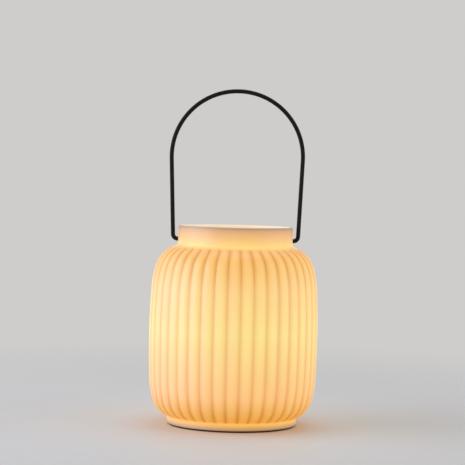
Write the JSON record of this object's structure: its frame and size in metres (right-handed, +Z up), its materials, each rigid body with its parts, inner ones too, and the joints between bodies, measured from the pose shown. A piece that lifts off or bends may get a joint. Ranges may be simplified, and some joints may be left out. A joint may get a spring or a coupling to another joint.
{
  "type": "lantern table lamp",
  "caption": "Lit lantern table lamp: ribbed barrel-shaped porcelain shade with a plain neck and foot ring, and a black wire carrying handle that swings.",
  "frame": {"origin": "centre of the resting face, on the surface that the lamp stands on", "axes": "+Z up, X along the line that the carrying handle turns about, +Y towards the back, where the cable inlet is"},
  "size_m": [0.16, 0.16, 0.3183],
  "materials": {
    "porcelain": "satin glaze, translucent, lit from inside",
    "pad_foam": "matte",
    "black_rubber": "matte",
    "black_wire": "satin black powder coat",
    "clear_nylon": "translucent",
    "black_vinyl": "satin",
    "zinc_steel": "zinc plated",
    "holder_plastic": "fine moulded grain",
    "holder_ceramic": "unglazed",
    "brass": "bare",
    "bulb_tip_metal": "bare",
    "black_insulator": "gloss",
    "cap_nickel": "bright",
    "bulb_plastic": "gloss",
    "opal_globe": "opal, lit",
    "board_aluminium": "bare",
    "led_phosphor": "matte",
    "circuit_board": "matte"
  },
  "bodies": {
    "base": {"porcelain_shade": "porcelain", "base_pad": "pad_foam", "cable_grommet": "black_rubber", "bail_bush_right": "clear_nylon", "bail_bush_left": "clear_nylon", "threaded_nipple": "zinc_steel", "nipple_nut": "zinc_steel", "lock_washer": "zinc_steel", "clamp_washer": "zinc_steel", "floor_washer": "black_rubber", "holder_cap": "holder_plastic", "holder_insert": "holder_ceramic", "holder_sleeve": "holder_plastic", "thread_shell": "brass", "centre_contact": "brass", "side_contact": "brass", "terminal_screw_left": "zinc_steel", "terminal_screw_right": "zinc_steel"},
    "bail": {"bail_handle": "black_wire", "bail_end_cap_right": "black_vinyl", "bail_end_cap_left": "black_vinyl"},
    "bulb": {"bulb_tip_contact": "bulb_tip_metal", "bulb_insulator": "black_insulator", "bulb_screw_cap": "cap_nickel", "bulb_housing": "bulb_plastic", "bulb_globe": "opal_globe", "led_board": "board_aluminium", "led_chips": "led_phosphor", "driver_board": "circuit_board"}
  },
  "joints": [
    {"name": "bail_swing", "type": "hinge", "parent": "base", "child": "bail", "pos_m": [0, 0, 0.1755], "axis": [1, 0, 0], "range_deg": [-107, 107]},
    {"name": "bulb_screw_out", "type": "slide", "parent": "base", "child": "bulb", "axis": [0, 0, 1], "range_m": [0, 0.0127]}
  ]
}
